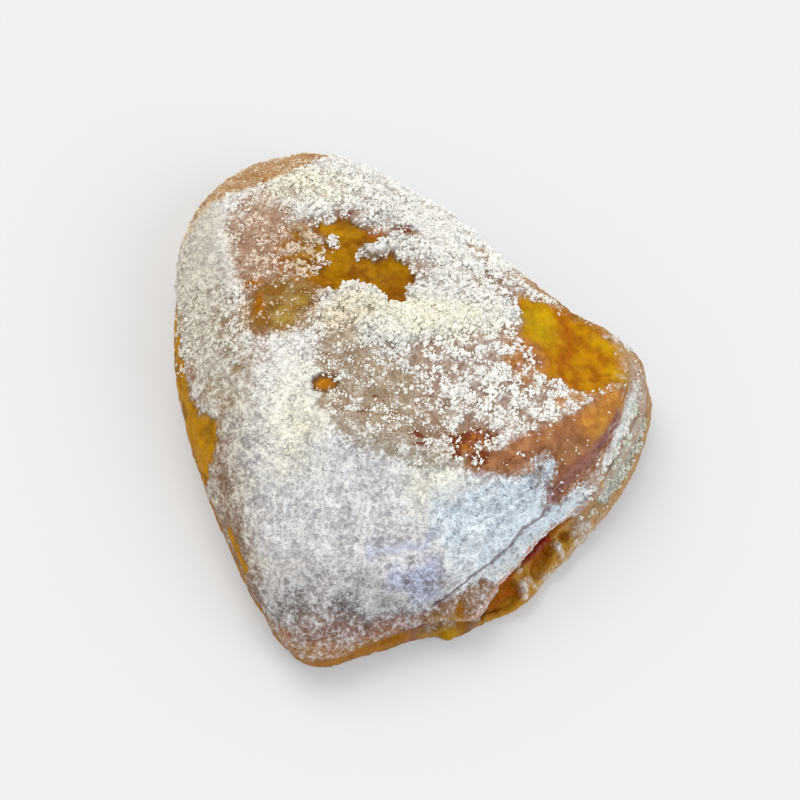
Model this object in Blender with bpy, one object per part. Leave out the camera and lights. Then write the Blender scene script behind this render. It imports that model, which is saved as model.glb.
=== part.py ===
"""An apple puff pastry: one square of laminated dough folded corner to corner over its filling.

The fold is the long left side. The two other sides are open edges, where the top sheet ends in
a thin lip over the bottom sheet, which is pinched and stands out under it as a flange. It is
one piece of food, so it is one solid, resting on a flat base.

Sizes are in millimetres and turned to metres when a vertex is placed. +Z is up, -Y is the
front, and the origin is at the middle of the base.
"""

import math
from collections import namedtuple

import bmesh
import bpy
import numpy as np
from mathutils import Vector, noise

MM = 0.001

# The whole.
CROWN_HEIGHT = 33.0
CENTRE = (-6.0, 0.0)
SEGMENTS = 168
TOP_RINGS = 17

# A station is a direction from the centre, in degrees counter-clockwise from +X. reach is how
# far the top sheet goes there and edge the height of its rim. flange is how far the bottom
# sheet stands out past the rim. opening is 0 on the fold and 1 on an open edge. slump is
# above 1 where the top falls straight to the rim, and under 1 where it stays full and round.
Station = namedtuple("Station", "direction reach edge flange opening slump")
STATIONS = (
    Station(3, 52.6, 15.0, 1.2, 1.0, 0.95),
    Station(12, 51.2, 15.0, 0.8, 1.0, 0.95),
    Station(21, 45.0, 14.5, 0.8, 1.0, 0.95),
    Station(38, 41.6, 13.5, 1.2, 1.0, 0.90),
    Station(55, 41.2, 13.0, 1.2, 1.0, 0.85),
    Station(72, 46.0, 13.0, 1.2, 1.0, 0.85),
    Station(90, 53.7, 13.0, 1.0, 0.9, 0.85),
    Station(104, 63.4, 12.5, 0.4, 0.5, 0.85),
    Station(120, 65.4, 12.0, 0.0, 0.1, 0.85),
    Station(134, 61.0, 12.0, 0.0, 0.0, 0.85),
    Station(152, 50.4, 12.0, 0.0, 0.0, 0.80),
    Station(170, 44.6, 12.0, 0.0, 0.0, 0.85),
    Station(188, 41.5, 11.0, 0.0, 0.0, 0.90),
    Station(206, 41.1, 10.0, 0.0, 0.0, 0.95),
    Station(224, 44.2, 9.0, 0.0, 0.0, 1.00),
    Station(240, 51.0, 8.5, 0.0, 0.1, 1.10),
    Station(254, 58.3, 8.0, 0.0, 0.4, 1.20),
    Station(268, 51.8, 8.5, 0.0, 0.9, 1.20),
    Station(280, 48.8, 9.0, 0.2, 1.0, 1.15),
    Station(292, 47.2, 9.2, 2.6, 1.0, 1.15),
    Station(302, 45.9, 9.6, 3.8, 1.0, 1.15),
    Station(312, 44.8, 10.0, 3.2, 1.0, 1.10),
    Station(322, 44.8, 10.8, 3.0, 1.0, 1.05),
    Station(333, 47.4, 12.6, 1.6, 1.0, 1.00),
    Station(348, 50.4, 14.4, 1.0, 1.0, 0.95),
)

# The rim of an open edge, from the fold line on the top sheet down to the base. out is how far
# out from the lip and flanges how many flange widths further. The height is a share of the
# lip's height and a rise above it.
Rim = namedtuple("Rim", "out flanges share rise")
OPEN_RIM = (
    Rim(-3.8, 0.0, 1.0, 5.2),
    Rim(-3.1, 0.0, 1.0, 3.7),
    Rim(-1.5, 0.0, 1.0, 2.4),
    Rim(-0.2, 0.0, 1.0, 0.6),
    Rim(-0.2, 0.0, 1.0, -0.6),
    Rim(-2.3, 0.0, 0.80, 0.0),
    Rim(-1.2, 0.4, 0.68, 0.0),
    Rim(0.0, 0.9, 0.60, 0.0),
    Rim(0.2, 1.0, 0.44, 0.0),
    Rim(-0.6, 0.9, 0.20, 0.0),
    Rim(-3.2, 0.8, 0.00, 0.0),
)
# The fold's rim is a quarter round above its widest line and another below it.
ROLL_START = 0.93
WIDEST_RING = 4
BASE_SHARE = 0.84

# The lobe of the top sheet that hangs over the front edge: its middle, half width and reach.
LOBE_DIRECTION = 289.5
LOBE_WIDTH = 5.5
LOBE_REACH = 3.2

# Forms on the top, in the pastry's own plan: a dome or hollow has a middle, two half widths,
# the turn of the first from +X in degrees, and a height, which is negative for a hollow.
Dome = namedtuple("Dome", "x y long wide turn height")
DOMES = (
    Dome(-13.0, 21.5, 12.0, 4.6, -30.0, -4.6),
    Dome(-3.5, 15.0, 4.5, 3.6, -50.0, -2.4),
    Dome(-7.0, 7.5, 8.0, 3.8, -8.0, 2.6),
    Dome(9.0, 6.0, 13.0, 7.0, -14.0, 1.8),
    Dome(31.0, 4.0, 10.0, 6.5, -55.0, -2.6),
    Dome(-10.0, -12.0, 13.0, 5.5, -25.0, -1.4),
    Dome(-27.0, 40.0, 12.0, 9.0, 60.0, 1.6),
    Dome(-30.0, 4.0, 8.0, 16.0, 5.0, 1.2),
    Dome(-8.0, -38.0, 13.0, 7.0, 10.0, 1.0),
)

# Ridges and creases: the points that each runs through, its half width and its height.
Ridge = namedtuple("Ridge", "points width height")
RIDGES = (
    # the crest, where the top turns down to the front
    Ridge(((-18, -19), (-3, -23), (8, -24), (18, -22), (27, -17), (35, -11), (42, -3)), 4.6, 3.2),
    # the shoulder along the back edge
    Ridge(((-24, 44), (-4, 34), (10, 22), (26, 14)), 4.5, 1.6),
    # the fold that runs down the left of the top
    Ridge(((-38, 42), (-38.5, 31), (-36.5, 18), (-36, 6)), 2.0, -0.9),
    # the crease across the patch at the right corner
    Ridge(((29.5, 8.5), (35, 4.5), (37, -2)), 1.8, -1.0),
    # soft creases on the front slope
    Ridge(((-12, -37), (-2, -41), (8, -40)), 2.2, -0.8),
    Ridge(((-26, -31), (-14, -29), (0, -31)), 3.0, 0.7),
)

# Where a fingertip pressed the bottom sheet along the front edge: the direction of each dent,
# its half width in degrees, and how deep it goes down and in.
Pinch = namedtuple("Pinch", "direction width down inward")
PINCHES = (
    Pinch(297.5, 4.6, 2.2, 0.8),
    Pinch(311.5, 4.4, 2.2, 0.8),
    Pinch(321.5, 3.2, 1.6, 0.5),
    Pinch(330.0, 3.0, 1.2, 0.4),
)

# The corner of the bottom sheet that pokes out at the front.
EAR_FROM, EAR_TO = 281.0, 290.0
EAR_REACH = 2.2


def smooth_step(x):
    x = min(1.0, max(0.0, x))
    return x * x * (3 - 2 * x)


def station_at(direction):
    """The station values at any direction, on a smooth closed curve through the stations."""
    directions = [s.direction for s in STATIONS]
    count = len(STATIONS)
    direction = (direction - directions[0]) % 360 + directions[0]
    i = max(k for k in range(count) if directions[k] <= direction)
    turn = [STATIONS[(i + k) % count] for k in (-1, 0, 1, 2)]
    at = [t.direction + 360 * ((i + k) // count) for k, t in zip((-1, 0, 1, 2), turn)]
    span = at[2] - at[1]
    t = (direction - at[1]) / span
    before, after = (at[2] - at[0]) / span, (at[3] - at[1]) / span
    found = []
    for p0, p1, p2, p3 in zip(*turn):
        m1, m2 = (p2 - p0) / before, (p3 - p1) / after
        found.append(
            p1 * (1 + 2 * t) * (1 - t) ** 2
            + m1 * t * (1 - t) ** 2
            + p2 * t * t * (3 - 2 * t)
            + m2 * t * t * (t - 1)
        )
    return Station(*found)


def dome_height(dome, x, y):
    turn = math.radians(dome.turn)
    dx, dy = x - dome.x, y - dome.y
    along = (dx * math.cos(turn) + dy * math.sin(turn)) / dome.long
    across = (dy * math.cos(turn) - dx * math.sin(turn)) / dome.wide
    return dome.height * math.exp(-(along**2) - across**2)


def ridge_height(ridge, x, y):
    p = np.array((x, y), float)
    nearest = math.inf
    for a, b in zip(ridge.points, ridge.points[1:]):
        a, b = np.array(a, float), np.array(b, float)
        t = np.clip((p - a) @ (b - a) / ((b - a) @ (b - a)), 0, 1)
        nearest = min(nearest, float(np.linalg.norm(p - a - t * (b - a))))
    return ridge.height * math.exp(-((nearest / ridge.width) ** 2))


def relief(x, y):
    """All the forms of the top together, with the slow unevenness of baked dough."""
    height = sum(dome_height(d, x, y) for d in DOMES)
    height += sum(ridge_height(r, x, y) for r in RIDGES)
    height += 0.7 * noise.noise(Vector((x, y, 0)) / 14.0)
    return height + 0.4 * noise.noise(Vector((x, y, 40)) / 6.0)


def top_height(station, share, x, y):
    """How high the top is at this share of the reach."""
    dome = max(0.0, 1 - share**2) ** (station.slump / 2)
    fade = smooth_step((1 - share) / 0.2)
    edge = station.edge
    return edge + (CROWN_HEIGHT - edge) * dome + relief(x, y) * fade


def fold_point(station, ring):
    """(reach, height) of a rim ring where the dough is folded round."""
    if ring <= WIDEST_RING:
        turn = math.asin(ROLL_START)
        turn += (math.pi / 2 - turn) * (ring / WIDEST_RING)
        share = math.sin(turn)
        return share * station.reach, None
    turn = math.pi / 2 * (ring - WIDEST_RING) / (len(OPEN_RIM) - 1 - WIDEST_RING)
    share = BASE_SHARE + (1 - BASE_SHARE) * math.cos(turn)
    return share * station.reach, station.edge * (1 - math.sin(turn))


def open_point(station, ring, direction):
    """(reach, height) of a rim ring on an open edge."""
    rim = OPEN_RIM[ring]
    bottom_sheet = smooth_step((ring - 5) / 2)
    reach = station.reach + rim.out + station.flange * rim.flanges
    height = station.edge * rim.share + rim.rise
    lobe = math.exp(-(((direction - LOBE_DIRECTION) / LOBE_WIDTH) ** 2))
    reach += LOBE_REACH * lobe * (1 - bottom_sheet) * smooth_step((ring + 1) / 4)
    for pinch in PINCHES:
        dent = math.exp(-(((direction - pinch.direction) / pinch.width) ** 2))
        reach -= bottom_sheet * dent * pinch.inward
        height -= bottom_sheet * dent * pinch.down * rim.share / 0.6
    if EAR_FROM <= direction <= EAR_TO:
        reach += bottom_sheet * EAR_REACH * (EAR_TO - direction) / (EAR_TO - EAR_FROM)
    return reach, height


def plan(direction, reach):
    turn = math.radians(direction)
    return CENTRE[0] + reach * math.cos(turn), CENTRE[1] + reach * math.sin(turn)


def place(ring, direction):
    """Where the vertex of this ring and direction goes, in millimetres."""
    station = station_at(direction)
    rim_ring = ring - TOP_RINGS
    if rim_ring < 0:
        inner = station.opening * (station.reach + OPEN_RIM[0].out)
        inner += (1 - station.opening) * ROLL_START * station.reach
        reach = inner * math.sin(math.pi / 2 * ring / TOP_RINGS * 0.86) / math.sin(math.pi / 2 * 0.86)
        x, y = plan(direction, reach)
        return x, y, top_height(station, reach / station.reach, x, y)
    folded, fold_height = fold_point(station, rim_ring)
    opened, open_height = open_point(station, rim_ring, direction)
    if fold_height is None:
        fold_height = top_height(station, folded / station.reach, *plan(direction, folded))
    reach = folded + (opened - folded) * station.opening
    height = fold_height + (open_height - fold_height) * station.opening
    return *plan(direction, reach), height


def shape_pastry(bm):
    """A UV sphere gives the rings, and each of its vertices moves to its place on the pastry."""
    rings = TOP_RINGS + len(OPEN_RIM)
    bmesh.ops.create_uvsphere(bm, u_segments=SEGMENTS, v_segments=rings, radius=1)
    for v in bm.verts:
        ring = round(math.acos(max(-1.0, min(1.0, v.co.z))) / math.pi * rings)
        direction = math.degrees(math.atan2(v.co.y, v.co.x)) % 360
        if ring in (0, rings):
            height = CROWN_HEIGHT + relief(*CENTRE) if ring == 0 else 0.0
            x, y = CENTRE
        else:
            x, y, height = place(ring, direction)
        v.co = Vector((x, y, height)) * MM
    base = [f for f in bm.faces if all(abs(v.co.z) < 1e-7 for v in f.verts)]
    bmesh.ops.dissolve_faces(bm, faces=base, use_verts=True)


def centre_on_origin(bm):
    points = np.array([v.co for v in bm.verts])
    low, high = points.min(0), points.max(0)
    middle = Vector(((low[0] + high[0]) / 2, (low[1] + high[1]) / 2, low[2]))
    bmesh.ops.translate(bm, verts=bm.verts, vec=-middle)


def baked_dough():
    material = bpy.data.materials.new("baked_dough")
    material.use_nodes = True
    shader = material.node_tree.nodes["Principled BSDF"]
    shader.inputs["Base Color"].default_value = (0.55, 0.42, 0.25, 1)
    shader.inputs["Roughness"].default_value = 0.6
    shader.inputs["Metallic"].default_value = 0.0
    return material


def main():
    for old in list(bpy.data.objects):
        bpy.data.objects.remove(old)
    mesh = bpy.data.meshes.new("pastry")
    bm = bmesh.new()
    shape_pastry(bm)
    centre_on_origin(bm)
    bmesh.ops.recalc_face_normals(bm, faces=bm.faces)
    bm.to_mesh(mesh)
    bm.free()
    mesh.materials.append(baked_dough())
    mesh.shade_smooth()
    pastry = bpy.data.objects.new("pastry", mesh)
    bpy.context.scene.collection.objects.link(pastry)


main()
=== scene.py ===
# %% [markdown]
# # An apple puff pastry under icing sugar
#
# The real thing is a square of puff dough, folded corner to corner over its filling, baked
# until it is gold and dusted while it is still warm. Warm dough melts the first sugar that
# touches it into a dull film, and what falls later stays as loose powder and crumbs. So the
# surface has four finishes, and this file builds them in that order: the baked crust, the
# film, the fine powder, and the crumbs that lie on top.
#
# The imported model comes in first. It is the fixed frame: it gives the size and the place, and
# the dressed pastry keeps both.

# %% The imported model
import math
from collections import namedtuple

import bmesh
import bpy
import numpy as np
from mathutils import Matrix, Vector, noise


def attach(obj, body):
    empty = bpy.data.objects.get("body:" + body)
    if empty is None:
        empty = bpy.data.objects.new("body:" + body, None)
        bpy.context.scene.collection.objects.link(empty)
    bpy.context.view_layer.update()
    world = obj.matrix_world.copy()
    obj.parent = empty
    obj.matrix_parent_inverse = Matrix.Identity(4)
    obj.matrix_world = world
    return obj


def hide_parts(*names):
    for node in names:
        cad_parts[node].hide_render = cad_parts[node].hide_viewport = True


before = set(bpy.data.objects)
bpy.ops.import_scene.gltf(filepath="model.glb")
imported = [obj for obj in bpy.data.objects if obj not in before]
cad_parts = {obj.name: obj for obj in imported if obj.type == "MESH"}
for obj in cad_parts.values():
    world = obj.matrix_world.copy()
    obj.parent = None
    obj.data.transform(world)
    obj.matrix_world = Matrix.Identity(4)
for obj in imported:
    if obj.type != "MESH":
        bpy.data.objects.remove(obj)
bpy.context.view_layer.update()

MM = 0.001

# %% [markdown]
# ## The camera
#
# A photograph of food on a table is taken from above and in front. Here the front corner looks
# blunt and both open edges show, which puts the camera 58 degrees above the table. A long lens
# from nearly half a metre away keeps the near corner from looking swollen.

# %% Camera
ELEVATION = math.radians(58)
CAMERA_DISTANCE = 450 * MM
LENS, SENSOR = 100, 36
AIM = Vector((-2.5, -3.2, 14)) * MM


def add_camera():
    lens = bpy.data.cameras.new("table_camera")
    lens.lens, lens.sensor_width = LENS, SENSOR
    lens.clip_start, lens.clip_end = 0.01, 10
    camera = bpy.data.objects.new("table_camera", lens)
    back = Vector((0, -math.cos(ELEVATION), math.sin(ELEVATION)))
    camera.location = AIM + back * CAMERA_DISTANCE
    camera.rotation_mode = "QUATERNION"
    camera.rotation_quaternion = (-back).to_track_quat("-Z", "Y")
    bpy.context.scene.collection.objects.link(camera)
    bpy.context.scene.camera = camera


add_camera()

# %% [markdown]
# ## The table and the light
#
# The pastry stands on a plain pale table. The light is a soft studio one: an even sky, a warm
# lamp high up behind the left side, and a cool window to the right, which turns the sugar
# slightly blue on every slope that faces it.

# %% Table
TABLE_SIZE = 3.0


def add_table(material):
    mesh = bpy.data.meshes.new("table")
    bm = bmesh.new()
    bmesh.ops.create_grid(bm, x_segments=1, y_segments=1, size=TABLE_SIZE / 2)
    bm.to_mesh(mesh)
    bm.free()
    mesh.materials.append(material)
    table = bpy.data.objects.new("table", mesh)
    bpy.context.scene.collection.objects.link(table)


# %% Light
SKY = ((0.98, 0.99, 1), 0.72)
Lamp = namedtuple("Lamp", "name azimuth elevation softness strength colour")
LAMPS = (
    Lamp("warm_lamp", 122, 64, 45, 1.36, (1.0, 0.965, 0.91)),
    Lamp("cool_window", -38, 36, 40, 1.00, (0.74, 0.86, 1.0)),
)


def add_light():
    world = bpy.data.worlds.new("soft_sky")
    world.use_nodes = True
    background = world.node_tree.nodes["Background"]
    background.inputs["Color"].default_value = (*SKY[0], 1)
    background.inputs["Strength"].default_value = SKY[1]
    bpy.context.scene.world = world
    for lamp in LAMPS:
        light = bpy.data.lights.new(lamp.name, "SUN")
        light.energy, light.angle = lamp.strength, math.radians(lamp.softness)
        light.color = lamp.colour
        turn, rise = math.radians(lamp.azimuth), math.radians(lamp.elevation)
        flat = math.cos(rise)
        towards = Vector((math.cos(turn) * flat, math.sin(turn) * flat, math.sin(rise)))
        shown = bpy.data.objects.new(lamp.name, light)
        shown.rotation_mode = "QUATERNION"
        shown.rotation_quaternion = (-towards).to_track_quat("-Z", "Y")
        bpy.context.scene.collection.objects.link(shown)


add_light()
bpy.context.scene.view_settings.view_transform = "Standard"

# %% [markdown]
# ## The crust's skin
#
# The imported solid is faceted, so it can't hold wrinkles or a heap of sugar. A voxel remesh
# gives a skin of even half-millimetre squares, which is fine enough for every dent that shows.
# The alternative, subdividing the facets, would keep the solid's uneven triangles and put the
# most detail where they are smallest and not where it is needed. The underside needs none of
# those squares, so it is cut off and closed by one flat face. The open edge at the front right
# has the smallest folds, so the squares there are quartered.

# %% Skin
SKIN_STEP = 0.55 * MM
BASE_CUT = 0.3 * MM
ROUNDING_LEVELS = 2
SOFTENING, SOFTENING_ROUNDS = 0.5, 2


def remeshed_copy(node, name):
    mesh = bpy.data.meshes.new(name)
    bm = bmesh.new()
    bm.from_mesh(node.data)
    bmesh.ops.remove_doubles(bm, verts=bm.verts, dist=0.001 * MM)
    bm.to_mesh(mesh)
    bm.free()
    skin = bpy.data.objects.new(name, mesh)
    bpy.context.scene.collection.objects.link(skin)
    rounding = skin.modifiers.new("rounding", "SUBSURF")
    rounding.levels = rounding.render_levels = ROUNDING_LEVELS
    even = skin.modifiers.new("even_squares", "REMESH")
    even.mode, even.voxel_size = "VOXEL", SKIN_STEP
    soften = skin.modifiers.new("soften", "SMOOTH")
    soften.factor, soften.iterations = SOFTENING, SOFTENING_ROUNDS
    graph = bpy.context.evaluated_depsgraph_get()
    finished = bpy.data.meshes.new_from_object(skin.evaluated_get(graph))
    skin.modifiers.clear()
    skin.data = finished
    finished.name = name
    return skin


def flatten_base(bm):
    """Cut the underside off just above the table and close it there with one flat face."""
    whole = bm.verts[:] + bm.edges[:] + bm.faces[:]
    bmesh.ops.bisect_plane(bm, geom=whole, plane_co=(0, 0, BASE_CUT), plane_no=(0, 0, 1), clear_inner=True)
    rim = [edge for edge in bm.edges if edge.is_boundary]
    bmesh.ops.translate(bm, verts=list({v for edge in rim for v in edge.verts}), vec=(0, 0, -BASE_CUT))
    bmesh.ops.holes_fill(bm, edges=rim, sides=0)


skin = remeshed_copy(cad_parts["pastry"], "crust")
print("The skin has", len(skin.data.vertices), "points and", len(skin.data.polygons), "squares")

# %% [markdown]
# ## Where things are
#
# A baker would point at the pastry: this hollow is bare, the sugar heaps there. Each such place
# is a spot, which is an ellipse in plan, an area inside a few corners, or a band along a few
# points. A band on the steep sides is given its height too, as a third number. What counts is
# how deep inside a mark each point of the skin lies.

# %% Spots, areas and bands
Spot = namedtuple("Spot", "x y long wide turn", defaults=(0,))
Area = namedtuple("Area", "corners")
Band = namedtuple("Band", "points wide")


def smooth_step(x):
    x = np.clip(x, 0, 1)
    return x * x * (3 - 2 * x)


def line_distance(places, points):
    """How far each point is from a line through a few points, in plan or, given heights, in space."""
    nearest = np.full(len(places), np.inf)
    flat = places[:, :len(points[0])]
    for a, b in zip(points, points[1:]):
        a, b = np.array(a, float), np.array(b, float)
        run = b - a
        t = np.clip((flat - a) @ run / (run @ run), 0, 1)
        nearest = np.minimum(nearest, np.linalg.norm(flat - a - t[:, None] * run, axis=1))
    return nearest


def side_distance(places, points):
    """The same in plan, but below zero to the right of the line, so that a thin line stays sharp."""
    nearest, signed = np.full(len(places), np.inf), np.zeros(len(places))
    for a, b in zip(points, points[1:]):
        a, b = np.array(a, float), np.array(b, float)
        run, reach = b - a, places[:, :2] - a
        t = np.clip(reach @ run / (run @ run), 0, 1)
        distance = np.linalg.norm(reach - t[:, None] * run, axis=1)
        side = np.sign(run[0] * reach[:, 1] - run[1] * reach[:, 0])
        signed = np.where(distance < nearest, distance * side, signed)
        nearest = np.minimum(nearest, distance)
    return signed


def spot_radius(places, spot):
    """0 in the middle of a spot, 1 on its edge."""
    turn = math.radians(spot.turn)
    dx, dy = places[:, 0] - spot.x, places[:, 1] - spot.y
    along = (dx * math.cos(turn) + dy * math.sin(turn)) / spot.long
    across = (dy * math.cos(turn) - dx * math.sin(turn)) / spot.wide
    return np.hypot(along, across)


def is_inside(places, corners):
    x, y = places[:, 0], places[:, 1]
    inside = np.zeros(len(places), bool)
    for (ax, ay), (bx, by) in zip(corners, corners[1:] + corners[:1]):
        if ay != by:
            inside ^= ((ay > y) != (by > y)) & (x < ax + (y - ay) * (bx - ax) / (by - ay))
    return inside


def depth_inside(places, mark):
    """How far inside a mark each point is, in millimetres, and below zero outside it."""
    if isinstance(mark, Spot):
        return (1 - spot_radius(places, mark)) * min(mark.long, mark.wide)
    if isinstance(mark, Band):
        return mark.wide - line_distance(places, mark.points)
    edge = line_distance(places, mark.corners + mark.corners[:1])
    return np.where(is_inside(places, mark.corners), edge, -edge)


# %% [markdown]
# ## Laying one thing over another
#
# Colour, cover and relief are all laid the same way, as a painter lays washes: start with one
# value everywhere, and let each layer replace what is under it inside its own marks. A ragged
# edge comes from shifting the points by noise before they are measured, since nothing baked
# has a clean outline.

# %% Layers
Layer = namedtuple("Layer", "value soft marks")


def lay(value, soft, *marks):
    """What to lay, how soft its edge is in millimetres, and the marks that it fills."""
    return Layer(value, soft, marks)


def share_of(places, layer):
    """1 well inside any of the layer's marks, 0 outside, and smooth over its soft edge."""
    depth = np.max([depth_inside(places, mark) for mark in layer.marks], axis=0)
    return smooth_step(0.5 + depth / layer.soft)


def laid(places, start, layers):
    """What starts as one value everywhere, or as an earlier result, with the layers over it."""
    made = start
    for layer in layers:
        share = share_of(places, layer)
        is_colour = np.shape(layer.value)[-1:] == (3,)
        made = made + (layer.value - made) * (share[:, None] if is_colour else share)
    return made


def piled(places, layers):
    """The layers' values added up, as dents and bumps are."""
    return sum(layer.value * share_of(places, layer) for layer in layers)


def lumps(places, size, seed=0, octaves=1):
    """Smooth noise at each point, about -1 to 1, with lumps of this size in millimetres."""
    shift = Vector((seed * 17.3, seed * -9.1, seed * 5.7))
    return np.array([noise.fractal(Vector(p) / size + shift, 0.9, 2.1, octaves) for p in places])


def ragged(places, size, reach, seed):
    """The points, each shifted by noise, so that a mark measured on them has a ragged edge."""
    return places + reach * np.stack([lumps(places, size, seed + k, 3) for k in range(3)], axis=1)


# %% [markdown]
# ## The main places
#
# These are the places that more than one step uses: the bare hollow behind the heap, the rosy
# slope beside it, the bare right corner, the rounded edges, and the folds under the lip.

# %% Main places
HOLLOW = Area((
    (-24.5, 27.6), (-21, 28.4), (-18, 29.7), (-13.5, 30.4), (-9.6, 27.9), (-5.2, 26.2), (-4.6, 24.6),
    (-8.2, 23.6), (-11.6, 23.3), (-7.6, 21.4), (-4, 20.6), (-0.4, 18.6), (0.8, 16.2), (-0.2, 13.5),
    (-2.2, 6.6), (-4.8, 6.2), (-7, 10.6), (-9.6, 13.5), (-13.3, 12.3), (-16, 11.4), (-19.5, 14),
    (-23, 15.8), (-25, 18.2), (-24.4, 23),
))
HOLLOW_LEFT = Area((
    (-26.5, 28.5), (-21, 29), (-18.5, 27), (-17, 23.5), (-19, 18), (-22.5, 14), (-27, 16), (-27.5, 21),
))
BROWN_RIM = (
    Band(((-24.5, 29.3), (-21, 29.6), (-18, 30.8), (-13.5, 31.4), (-11, 30)), 0.5),
    Band(((-8.6, 27.4), (-5.4, 26.6), (-3.2, 27.2), (1.6, 26), (3.4, 24.8)), 0.7),
)
CRUMB_BRIDGE = Band(((-24, 28), (-21.9, 27.2), (-19.8, 26.4), (-17.8, 26), (-16, 25.6)), 0.55)
OLIVE_FILM = Area((
    (-33, 9), (-31.5, 13), (-27, 16), (-22, 15.6), (-17, 15.2), (-13.6, 14), (-14.6, 12), (-17.8, 10.4),
    (-18.6, 7.4), (-20.4, 4.6), (-22.6, 2.4), (-26, 1.2), (-31, 1.6), (-33, 5),
))
ROSY_SLOPE = Area((
    (-38.6, 36), (-36.4, 39.5), (-31, 40), (-26.8, 37), (-24.5, 33.5), (-24.5, 30.5), (-25.8, 28),
    (-25.6, 22), (-24, 15), (-28, 12), (-31.5, 12), (-33.6, 14), (-35.6, 18), (-37, 24), (-38.4, 31),
))
TAN_BACK = Area((
    (-52, 28), (-47, 34.5), (-44, 39.5), (-40, 41.2), (-35.5, 41.6), (-30.5, 42), (-26, 42.4),
    (-23, 45.2), (-18.5, 50.4), (-15, 53), (-17, 58), (-32, 60), (-52, 54),
))
DULL_FILM = Area((
    (-17.5, 2.4), (-13.5, 2.8), (-12, 0), (-8.6, -2), (-3, -3.2), (0.4, -5.5), (1.4, -9.5), (1.4, -14),
    (3.4, -18), (7, -20.4), (9, -23.4), (5, -26), (-2, -25.4), (-8, -23.4), (-13, -21.4),
    (-16.8, -17.8), (-21.4, -13.4), (-22.2, -8), (-20.4, -3.6), (-17.6, 0),
))
RIGHT_BARE = Area((
    (20.4, 11.4), (23, 13), (28, 12.2), (32, 11.2), (36, 8.6), (39.4, 6.2), (41.2, 2.4), (41.8, -2),
    (40.4, -6), (37, -9.4), (32, -9.8), (30, -8), (26, -7.8), (23.8, -4.6), (22.8, -1), (21.6, 2),
    (22, 6), (20.8, 8.6),
))
CREST = ((15, -27.5), (20.5, -24.3), (25.5, -22), (31.5, -19), (36.5, -15), (40, -10))
BROWN_FIELD = Area((
    (9, -27.6), (12, -25), (16.8, -23.8), (20.4, -20.4), (26.5, -17.8), (31.5, -14.8), (35, -11),
    (38.5, -8.4), (42, -5.6), (42.3, -8.5), (40.7, -12.8), (38.6, -17), (37.2, -19.4), (35.6, -21.6),
    (32.4, -25.2), (28.8, -28.2), (26.3, -28.6), (26, -27.2), (26.8, -25.8), (27.6, -24), (25.8, -23.4),
    (23, -24.8), (19.6, -27.4), (15, -28.6), (11, -29),
))
CREASE = ((4, -48.6), (5.6, -47.6), (10.4, -44.4), (15.3, -40.4), (19.8, -36), (24.2, -31.4), (26.6, -29.2))
PINK_STREAK = ((27, -28, 18.3), (31, -24.4, 20.5), (36, -19.4, 21), (40, -13, 22))
LIP = (
    (3.4, -51, 8.5), (8.4, -50.6, 8.8), (11.6, -50.2, 9.8), (13.4, -48.4, 10.5), (15.4, -45.2, 10.7),
    (16.9, -43, 11.1), (19.3, -40.6, 11.4), (21.3, -38.1, 12.1), (23.3, -35.6, 12.5),
    (25.5, -33.3, 12.7), (27.7, -31.3, 12.6), (30.4, -29.1, 12.7), (33, -27.4, 12.9),
    (35.4, -25.6, 13.3),
)
UNDER_LIP = (
    (17.6, -44.2, 9.6), (20.3, -41.4, 10.3), (22.4, -38.6, 10.9), (24.5, -36.3, 11.1),
    (26.5, -34.1, 11.3), (28.8, -31.9, 11.3), (31.4, -29.8, 11.2),
)
LOBE = Area((
    (2, -50.4), (4.5, -48.4), (7.5, -47), (10.8, -44.9), (13.3, -43.2), (15.9, -43.1), (16.2, -44.6),
    (15.2, -46.4), (13.8, -48.2), (11.4, -50.3), (8.5, -51.2), (4, -51.6),
))
POCKETS = (
    Band(((19.4, -42.4, 6.4), (18.2, -44.6, 4.8), (15.4, -47.2, 4.6)), 1.9),
    Band(((27, -33.2, 8), (25.8, -35.8, 6), (24.8, -37.6, 5.2)), 1.3),
    Band(((29.2, -31.2, 9), (30.4, -30.8, 6.8)), 0.8),
)
RIDGES = (
    Band(((21, -39.8, 9), (21.8, -41.2, 6), (22, -43.2, 4.8)), 0.7),
    Band(((22.6, -39.8, 6.4), (23.6, -40.6, 5)), 0.5),
    Band(((28.2, -32, 9), (28.6, -32.8, 6.4), (29.4, -34.2, 5.6)), 0.7),
)
WALL_LINE = ((45.9, -6.9, 16.5), (43.3, -12.5, 16.8), (39.9, -18.9, 15.9), (38.4, -21.3, 15))

# %% [markdown]
# ## Finer squares at the open edge
#
# The lip and the folds under it are thinner than the skin's squares can follow, so the squares
# near them are quartered before anything is sculpted.

# %% Finer squares
FINE_EDGE = Band(tuple((x, y) for x, y, z in LIP) + ((41, -19), (46, -10)), 3.8)


def points_of(piece):
    count = len(piece.data.vertices)
    places, normals = np.empty(count * 3), np.empty(count * 3)
    piece.data.vertices.foreach_get("co", places)
    piece.data.vertex_normals.foreach_get("vector", normals)
    return places.reshape(-1, 3) / MM, normals.reshape(-1, 3)


def quarter_squares(bm, band):
    bm.verts.ensure_lookup_table()
    near_edge = depth_inside(np.array([v.co for v in bm.verts]) / MM, band) > 0
    edges = [e for e in bm.edges if all(near_edge[v.index] for v in e.verts) and e.verts[0].co.z > MM]
    bmesh.ops.subdivide_edges(bm, edges=edges, cuts=1, use_grid_fill=True)


def rework(piece, *steps):
    """Open a piece's mesh, let each step work on it, and put it back."""
    bm = bmesh.new()
    bm.from_mesh(piece.data)
    for step, *extra in steps:
        step(bm, *extra)
    bm.to_mesh(piece.data)
    bm.free()


rework(skin, (flatten_base,), (quarter_squares, FINE_EDGE))
skin.data.shade_smooth()
triangles = sum(len(p.vertices) - 2 for p in skin.data.polygons)
print("With a flat base and a finer edge it has", triangles, "triangles")

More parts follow.
